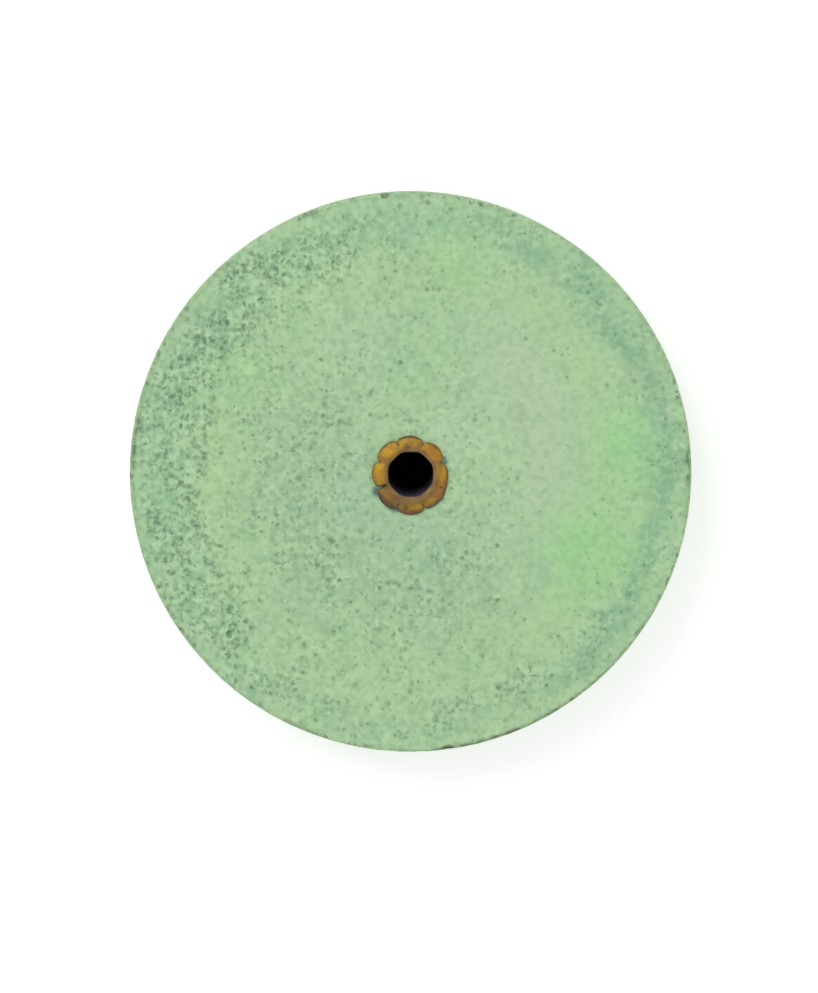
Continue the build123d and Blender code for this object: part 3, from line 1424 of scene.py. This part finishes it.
@dataclass
class ArborEyelet:
    """The brass eyelet: flange on the back, barrel through the hole, petals on the front."""

    front_face: float
    bore: float
    finish: BrassFinish

    sheet: float = 0.15
    flange_radius: float = 1.425
    flange_bend: float = 0.08
    flange_chamfer: float = 0.03
    tip_radius: float = 1.33
    notch_depth: float = 0.16
    petal_droop: float = 40.0
    petal_crown: float = 0.13
    split_length: float = 0.27
    torn_split: int = 4
    torn_length: float = 0.44
    torn_width: float = 0.11
    edge_round: float = 0.055
    corner: float = 0.13
    corner_drop: float = 0.055
    reach: tuple[float, ...] = (0.955, 0.985, 0.99, 1.0, 0.985, 1.03, 1.045, 1.02)
    notch: tuple[float, ...] = (0.85, 0.9, 0.5, 0.7, 0.9, 0.75, 0.65, 0.1)
    gap: tuple[float, ...] = (0.014, 0.012, 0.01, 0.012, 0.03, 0.014, 0.012, 0.01)
    # how dark the painted shade along each split is
    crease: tuple[float, ...] = (0.5, 0.15, 0.25, 0.35, 1.0, 0.3, 0.15, 0.15)
    crease_width: float = 0.035
    tip_crease: float = 0.04
    ridge: float = 1.15
    ridge_spread: float = 0.16
    beaten_depth: float = 0.014
    flat_depth: float = 0.014
    pillow_start: float = 0.25
    thinnest: float = 0.03
    tarnish: tuple[float, ...] = (0.35, 0.2, 0.5, 0.15, 0.1, 0.85, 0.55, 0.65)
    columns: int = 28

    def __post_init__(self) -> None:
        """Works out the sizes that follow from the others."""
        self.barrel = self.bore + self.sheet
        self.petals = len(self.reach)
        self.half_turn = math.pi / self.petals
        half_droop = math.tan(math.radians(self.petal_droop) / 2)
        length = self.tip_radius - self.barrel
        self.mouth_bend = length * half_droop / (1 + half_droop)
        self.crest = self.barrel + self.mouth_bend
        self.crest_height = self.front_face + self.mouth_bend + self.sheet
        self.petal_arc = (length - self.mouth_bend) / math.sin(math.radians(self.petal_droop))
        notch = self.tip_radius - self.notch_depth
        fall = self.tip_radius - notch * math.cos(self.half_turn)
        self.lobe_centre = (self.tip_radius**2 - notch**2) / (2 * fall)
        self.lobe = self.tip_radius - self.lobe_centre

    def build(self) -> bpy.types.Object:
        """Builds and dresses the eyelet.

        Returns:
            The finished piece, one closed mesh in metres.
        """
        mesh = bmesh.new()
        layers = {name: mesh.verts.layers.float.new(name) for name in ("crown", "seam", "tarnish")}
        places = mesh.loops.layers.uv.new(BAKE_MAP)
        for petal in range(self.petals):
            self._sector(mesh, layers, places, petal)
        bmesh.ops.remove_doubles(mesh, verts=mesh.verts, dist=0.0002)
        bmesh.ops.dissolve_degenerate(mesh, edges=mesh.edges, dist=0.0001)
        bmesh.ops.recalc_face_normals(mesh, faces=mesh.faces)
        for face in mesh.faces:
            face.smooth = True
        for edge in mesh.edges:
            edge.smooth = not edge.is_manifold or edge.calc_face_angle() < math.radians(50)
        bmesh.ops.scale(mesh, vec=(MM, MM, MM), verts=mesh.verts)
        made = bpy.data.meshes.new("clinched_eyelet")
        mesh.to_mesh(made)
        mesh.free()
        made.materials.append(self.finish.material())
        piece = bpy.data.objects.new("clinched_eyelet", made)
        bpy.context.scene.collection.objects.link(piece)
        return piece

    def _outline(self, petal: int, share: float) -> float:
        """Gives the radius of a petal's outline.

        Args:
            petal: The petal, counted from +X.
            share: How far to the side, from -1 at one split to 1 at the other.

        Returns:
            The radius in millimetres.
        """
        aside = abs(share) * self.half_turn
        lobe = self.lobe_centre * math.cos(aside)
        lobe += math.sqrt(self.lobe**2 - (self.lobe_centre * math.sin(aside)) ** 2)
        share_out = (lobe - self.tip_radius + self.notch_depth) / self.notch_depth
        beside = petal if share > 0 else petal - 1
        neighbour = (petal + (1 if share > 0 else -1)) % self.petals
        tip = self.tip_radius * self.reach[petal]
        both = (self.reach[petal] + self.reach[neighbour]) / 2
        low = self.tip_radius * both - self.notch_depth * self.notch[beside % self.petals]
        to_split = self.tip_radius * (self.half_turn - aside)
        rounding = self.corner_drop * max(1 - to_split / self.corner, 0.0) ** 2
        return low + (tip - low) * share_out - rounding

    def _half_gap(self, split: int, run: float) -> float:
        """Gives half the width of a split.

        Args:
            split: The split, counted from the first after +X.
            run: How far past the crest, in millimetres.

        Returns:
            Half its width, 0 before its root.
        """
        torn = split % self.petals == self.torn_split
        length = self.torn_length if torn else self.split_length
        root = self.tip_radius - self.crest - length
        past = run - root
        if past <= 0:
            return 0.0
        half = self.gap[split % self.petals] / 2
        if torn:
            half += (self.torn_width / 2 - half) * past / length
        inside = min(past / half, 1.0)
        return half * math.sqrt(1 - (1 - inside) ** 2)

    def _rounded(self, distance: float) -> float:
        """Gives how far a rounded edge has dropped at this distance from it."""
        inside = max(self.edge_round - max(distance, 0.0), 0.0)
        return self.edge_round - math.sqrt(self.edge_round**2 - inside**2)

    def _stations(self) -> list[tuple[str, float]]:
        """Lists the sections from the flange's edge to the petals' tips.

        Returns:
            The part of the sheet that each lies in, and how far along that part.
        """
        outwards = [0.04, 0.09, 0.15, 0.22, 0.3, 0.38, 0.46, 0.54, 0.61, 0.68, 0.74]
        outwards += [0.79, 0.835, 0.875, 0.91, 0.94, 0.965, 0.985, 1.0]
        stations = [("edge", 0.0)]
        stations += [("flange", share) for share in (0.0, 0.35, 0.7, 1.0)]
        stations += [("bend", step / 6) for step in range(1, 7)]
        stations += [("barrel", share) for share in (0.2, 0.4, 0.6, 0.75, 0.85, 0.92, 0.97, 1.0)]
        stations += [("mouth", step / 14) for step in range(1, 15)]
        return stations + [("petal", share) for share in outwards]

    def _section(self, part: str, share: float, tip: float) -> tuple[float, float, float, float]:
        """Gives a section's place on both sides of the sheet.

        Args:
            part: The part of the sheet.
            share: How far along that part.
            tip: The radius of the petal's outline there.

        Returns:
            The radius and height on the bore's side, then on the wheel's side.
        """
        sheet, face = self.sheet, self.front_face
        corner = self.barrel + self.flange_bend
        if part == "edge":
            inset = self.flange_chamfer
            return self.flange_radius, inset, self.flange_radius, sheet - inset
        if part == "flange":
            outer = self.flange_radius - self.flange_chamfer
            radius = outer + (corner - outer) * share
            return radius, 0.0, radius, sheet
        if part == "bend":
            turn = share * math.pi / 2
            wide = self.flange_bend + sheet
            rise = 1 - math.cos(turn)
            near = (corner - wide * math.sin(turn), wide * rise)
            far = (corner - self.flange_bend * math.sin(turn), sheet + self.flange_bend * rise)
            return *near, *far
        if part == "barrel":
            low = sheet + self.flange_bend
            height = low + (face - low) * share
            return self.bore, height, self.barrel, height
        if part == "mouth":
            turn = share * math.pi / 2
            wide = self.mouth_bend + sheet
            near = (self.crest - wide * math.cos(turn), face + wide * math.sin(turn))
            far = (self.crest - self.mouth_bend * math.cos(turn), face + self.mouth_bend * math.sin(turn))
            return *near, *far
        radius = self.crest + (tip - self.crest) * share
        out = radius - self.crest
        floor = face + self.mouth_bend - self.petal_arc
        over = floor + math.sqrt((self.petal_arc + sheet) ** 2 - out**2)
        under = floor + math.sqrt(max(self.petal_arc**2 - out**2, 0.0))
        return radius, over, radius, max(under, face + 0.003)

    def _sector(
        self,
        mesh: bmesh.types.BMesh,
        layers: Mapping[str, Any],
        places: Any,
        petal: int,
    ) -> None:
        """Adds one petal with its share of the mouth, barrel and flange.

        Args:
            mesh: The mesh that it is added to.
            layers: The mesh's attributes, by name.
            places: The mesh's map.
            petal: The petal, counted from +X.
        """
        stations = self._stations()
        shares = np.sin(np.linspace(-1, 1, self.columns + 1) * math.pi / 2)
        shares = 0.6 * shares + 0.4 * np.linspace(-1, 1, self.columns + 1)
        near, far, open_left, open_right = [], [], [], []
        for part, along in stations:
            rows = ([], [])
            column_gaps = []
            for share in shares:
                tip = self._outline(petal, share)
                spot = self._section(part, along, tip)
                run = self._run(part, along, tip)
                gaps = (self._half_gap(petal - 1, run), self._half_gap(petal, run))
                column_gaps.append(gaps)
                made = self._points(petal, share, spot, run, gaps, tip)
                tarnish = self._tarnished(petal, share)
                for row, (point, crown, seam) in zip(rows, made, strict=True):
                    vertex = mesh.verts.new(point)
                    vertex[layers["crown"]] = crown
                    vertex[layers["seam"]] = seam
                    vertex[layers["tarnish"]] = tarnish
                    row.append(vertex)
            near.append(rows[0])
            far.append(rows[1])
            open_left.append(column_gaps[0][0] > 0)
            open_right.append(column_gaps[-1][1] > 0)
        self._skin(mesh, places, petal, near, far, (open_left, open_right))

    def _tarnished(self, petal: int, share: float) -> float:
        """Gives how brown the brass is, passing evenly from petal to petal."""
        neighbour = (petal + (1 if share > 0 else -1)) % self.petals
        passing = 0.5 * abs(share) ** 3
        return self.tarnish[petal] * (1 - passing) + self.tarnish[neighbour] * passing

    def _run(self, part: str, along: float, tip: float) -> float:
        """Gives how far past the crest a station lies, below 0 before it."""
        if part == "petal":
            return (tip - self.crest) * along
        if part == "mouth":
            return -(1 - along) * math.pi / 2 * (self.mouth_bend + self.sheet / 2)
        return -math.inf

    def _points(
        self,
        petal: int,
        share: float,
        spot: tuple[float, float, float, float],
        run: float,
        gaps: tuple[float, float],
        tip: float,
    ) -> list[tuple[tuple[float, float, float], float, float]]:
        """Places one column of one station, on both sides of the sheet.

        Args:
            petal: The petal, counted from +X.
            share: How far to the side, from -1 to 1.
            spot: The section's radius and height on both sides.
            run: How far past the crest it lies.
            gaps: Half the widths of the splits on both sides.
            tip: The radius of the petal's outline there.

        Returns:
            For each side of the sheet, the point, how much painted highlight its crown takes and how much
            painted shade it takes near a split or the tip.
        """
        made = []
        middle = 2 * self.half_turn * petal
        for index, (radius, height) in enumerate((spot[:2], spot[2:])):
            low, high = (math.asin(min(gap / radius, 1.0)) for gap in gaps)
            first, last = -self.half_turn + low, self.half_turn - high
            turn = middle + first + (last - first) * (share + 1) / 2
            to_left = radius * (turn - middle - first) if gaps[0] else math.inf
            to_right = radius * (middle + last - turn) if gaps[1] else math.inf
            to_side = min(to_left, to_right)
            crown = seam = 0.0
            if index == 0 and run > -math.inf:
                height = self._crowned(turn - middle, turn, radius, height, run)
                height -= self._rounded(to_side) if run > 0 else 0.0
                if run > 0:
                    height -= self._rounded(tip - radius)
                # painted highlight: how much gold the petal's ridge takes
                from_ridge = (radius - self.ridge) / self.ridge_spread
                crown = (1 - share**2) * math.exp(-(from_ridge**2))
            # painted shade along each split and round the petal's tip
            if run > -math.inf:
                creases = (self.crease[petal - 1], self.crease[petal])
                sides = zip(creases, (to_left, to_right), strict=True)
                folds = (math.exp(-((side / self.crease_width) ** 2)) * deep for deep, side in sides)
                seam = max(folds)
                at_tip = 0.1 + 0.6 * self.tarnish[petal]
                if run > 0:
                    seam = max(seam, at_tip * math.exp(-(((tip - radius) / self.tip_crease) ** 2)))
            if index == 0:
                radius += self._octagon(turn, height)
            point = (radius * math.cos(turn), radius * math.sin(turn), height)
            made.append((point, crown, seam))
        low = made[1][0][2]
        top = made[0][0]
        if run > 0 and top[2] < low + self.thinnest:
            made[0] = ((top[0], top[1], low + self.thinnest), *made[0][1:])
        return made

    def _crowned(self, aside: float, turn: float, radius: float, height: float, run: float) -> float:
        """Lowers the sheet towards a petal's sides, so that the petal is a pillow.

        Args:
            aside: The angle from the petal's middle.
            turn: The angle from +X.
            radius: The radius of the point.
            height: Its height before.
            run: How far past the crest it lies.

        Returns:
            Its height.
        """
        ball = (self.lobe**2 + self.petal_crown**2) / (2 * self.petal_crown)
        away = radius**2 + self.lobe_centre**2 - 2 * radius * self.lobe_centre * math.cos(aside)
        dome = self.crest_height - ball + math.sqrt(max(ball**2 - away, 0.0))
        blend = min(max((run + self.pillow_start) / self.pillow_start, 0.0), 1.0)
        spot = Vector((radius * math.cos(turn), radius * math.sin(turn), 0.7))
        beaten = self.beaten_depth * noise.noise(spot * 4)
        lowered = min(height, dome) - max(beaten, 0.0)
        return height + (lowered - height) * blend

    def _octagon(self, turn: float, height: float) -> float:
        """Flattens the bore's mouth between the petals' roots.

        Args:
            turn: The angle from +X.
            height: The height of the point.

        Returns:
            What is added to the radius there.
        """
        fade = min(max((height - self.front_face + 0.25) / 0.3, 0.0), 1.0)
        past_crest = min(max((self.crest_height - height) / 0.03, 0.0), 1.0)
        return -self.flat_depth * math.cos(self.petals * turn) * fade * past_crest

    def _skin(
        self,
        mesh: bmesh.types.BMesh,
        places: Any,
        petal: int,
        near: list[list[bmesh.types.BMVert]],
        far: list[list[bmesh.types.BMVert]],
        opened: tuple[list[bool], list[bool]],
    ) -> None:
        """Joins the rows of one petal into a closed sheet.

        Args:
            mesh: The mesh that they are in.
            places: The mesh's map.
            petal: The petal, counted from +X.
            near: The rows on the bore's side, from the flange to the tip.
            far: The rows on the wheel's side.
            opened: For each row, whether the split on that side is open there.
        """
        rows = near + far[::-1]
        marks = np.concatenate([np.linspace(0, 0.74, len(near)), np.linspace(0.77, 0.97, len(far))])
        start, wide, gap = petal / self.petals + 0.004, 0.115, 0.004
        last = len(rows)
        for row in range(last):
            after = (row + 1) % last
            top = marks[after] if after else 1.0
            for column in range(self.columns):
                corners = [rows[row][column], rows[row][column + 1]]
                corners += [rows[after][column + 1], rows[after][column]]
                left = start + wide * column / self.columns
                right = start + wide * (column + 1) / self.columns
                spots = [(left, marks[row]), (right, marks[row]), (right, top), (left, top)]
                self._quad(mesh, places, corners, spots)
        for side, column in ((0, 0), (1, self.columns)):
            edge = start - gap / 2 if side == 0 else start + wide
            for row in range(len(near) - 1):
                if not (opened[side][row] or opened[side][row + 1]):
                    continue
                corners = [near[row][column], near[row + 1][column]]
                corners += [far[row + 1][column], far[row][column]]
                low, high = marks[row], marks[row + 1]
                spots = [(edge, low), (edge, high), (edge + gap / 2, high), (edge + gap / 2, low)]
                self._quad(mesh, places, corners, spots)

    @staticmethod
    def _quad(
        mesh: bmesh.types.BMesh,
        places: Any,
        corners: list[bmesh.types.BMVert],
        spots: list[tuple[float, float]],
    ) -> None:
        """Adds one face and its place on the map."""
        face = mesh.faces.new(corners)
        for loop, spot in zip(face.loops, spots, strict=True):
            loop[places].uv = spot


@dataclass(frozen=True)
class Lamp:
    """A soft lamp, by where it stands over the wheel."""

    name: str
    azimuth: float
    elevation: float
    distance: float
    size: float
    power: float

    def stand(self, target: Vector) -> None:
        """Puts the lamp in the scene, turned to the target.

        Args:
            target: The point that it shines on, in metres.
        """
        turn, rise = math.radians(self.azimuth), math.radians(self.elevation)
        away = Vector((math.cos(turn) * math.cos(rise), math.sin(turn) * math.cos(rise), math.sin(rise)))
        data = bpy.data.lights.new(self.name, "AREA")
        data.shape = "DISK"
        data.size = self.size
        data.energy = self.power
        lamp = bpy.data.objects.new(self.name, data)
        bpy.context.scene.collection.objects.link(lamp)
        lamp.location = target + away * self.distance
        lamp.rotation_euler = away.to_track_quat("Z", "Y").to_euler()


@dataclass(frozen=True)
class Studio:
    """The pale floor, the light and the camera."""

    wheel_radius: float
    front_face: float

    image_size: tuple[int, int] = (818, 993)
    disc_middle: tuple[float, float] = (410.6, 474.3)
    disc_radius: float = 281.2
    eye_height: float = 124.0
    eye_lean: float = 5.1
    sensor: float = 36.0
    floor_size: float = 3.0
    floor_grey: float = 0.8
    floor_glow: float = 0.45
    sky: float = 0.64
    lamps: tuple[Lamp, ...] = (
        Lamp("key", 128.0, 52.0, 0.30, 0.16, 0.26),
        Lamp("fill", -40.0, 40.0, 0.36, 0.24, 0.10),
    )

    def build(self) -> None:
        """Sets the stage."""
        self._floor()
        self._world()
        target = Vector((0.0, 0.0, self.front_face * MM))
        for lamp in self.lamps:
            lamp.stand(target)
        self._camera()

    def _floor(self) -> None:
        """Lays the floor, which is black under the wheel, so that the bore stays dark."""
        half = self.floor_size / 2
        corners = [(-half, -half, 0.0), (half, -half, 0.0), (half, half, 0.0), (-half, half, 0.0)]
        mesh = bpy.data.meshes.new("floor")
        mesh.from_pydata(corners, [], [(0, 1, 2, 3)])
        floor = bpy.data.objects.new("floor", mesh)
        bpy.context.scene.collection.objects.link(floor)
        mesh.materials.append(self._floor_finish())

    def _floor_finish(self) -> bpy.types.Material:
        """Builds the floor's material: pale, and white to the camera, but for the shadow."""
        made = bpy.data.materials.new("pale_floor")
        made.use_nodes = True
        graph = Graph(made.node_tree)
        place = graph.wire("ShaderNodeTexCoord", output="Object")
        x, y, _ = graph.parts(place)
        clear = (x * x + y * y).apply("SQRT") > 0.85 * self.wheel_radius * MM
        grey = self.floor_grey
        colour = graph.mix(clear, (0.01, 0.01, 0.012, 1.0), (grey, grey, grey, 1.0))
        sockets = {
            "Base Color": colour,
            "Roughness": 1.0,
            "Specular IOR Level": 0.0,
            "Emission Color": (1.0, 1.0, 1.0, 1.0),
            "Emission Strength": self._seen(graph) * clear * self.floor_glow,
        }
        shader = graph.wire("ShaderNodeBsdfPrincipled", None, sockets)
        graph.node("ShaderNodeOutputMaterial", None, {"Surface": shader})
        return made

    @staticmethod
    def _seen(graph: Graph) -> Wire:
        """Is 1 for what the camera sees, at once or in metal or through glass."""
        rays = graph.node("ShaderNodeLightPath")
        names = ("Is Camera Ray", "Is Glossy Ray", "Is Transmission Ray")
        camera, glossy, through = (Wire(graph, rays.outputs[name]) for name in names)
        return (camera + glossy + through).at_most(1.0)

    def _world(self) -> None:
        """Fills the room with plain white light."""
        world = bpy.data.worlds.new("studio")
        bpy.context.scene.world = world
        world.use_nodes = True
        graph = Graph(world.node_tree)
        strength = self._seen(graph) * (1.0 - self.sky) + self.sky
        sockets = {"Color": (1.0, 1.0, 1.0, 1.0), "Strength": strength}
        shader = graph.wire("ShaderNodeBackground", None, sockets)
        graph.node("ShaderNodeOutputWorld", None, {"Surface": shader})

    def _camera(self) -> None:
        """Looks down on the wheel, a little from behind it, with the disc where it belongs."""
        width, height = self.image_size
        lean = math.radians(self.eye_lean)
        distance = self.eye_height / math.cos(lean)
        focal = self.disc_radius * distance / self.wheel_radius
        aside = (self.disc_middle[0] - width / 2) / self.disc_radius * self.wheel_radius
        above = math.atan((height / 2 - self.disc_middle[1]) / focal)
        data = bpy.data.cameras.new("camera")
        data.sensor_width = self.sensor
        data.lens = focal / height * self.sensor
        data.clip_start = 0.01
        camera = bpy.data.objects.new("camera", data)
        bpy.context.scene.collection.objects.link(camera)
        back = self.eye_height * math.tan(lean)
        camera.location = Vector((-aside, back, self.front_face + self.eye_height)) * MM
        camera.rotation_euler = (-(lean + above), 0.0, 0.0)
        bpy.context.scene.camera = camera


def main() -> None:
    """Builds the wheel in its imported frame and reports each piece."""
    logging.basicConfig(level=logging.INFO, format="%(message)s")
    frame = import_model()
    bpy.context.scene.view_settings.view_transform = "Standard"
    low, high = (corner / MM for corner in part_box("abrasive_wheel"))
    mounts = frame["record"]["mounts"]
    bore = next(mount for mount in mounts if mount["name"] == "arbor_bore")

    marks = PressMarks(wheel_radius=high.x, back_face=low.z, front_face=high.z)
    carbide = CarbideFinish(marks)
    disc = AbrasiveDisc(high.x, low.z, high.z, marks, carbide)
    brass = BrassFinish(front_face=high.z)
    eyelet = ArborEyelet(high.z, bore["dims"]["r_mm"], brass)
    fitted = (
        (disc.build(), "abrasive_wheel", "silicon_carbide"),
        (eyelet.build(), "arbor_eyelet", "eyelet_brass"),
    )
    for piece, node, slot in fitted:
        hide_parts(node)
        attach(piece, "root")
        triangles = sum(len(face.vertices) - 2 for face in piece.data.polygons)
        log.info("%s stands for %s with %d triangles", piece.name, node, triangles)
    Studio(high.x, high.z).build()


if __name__ == "__main__":
    main()
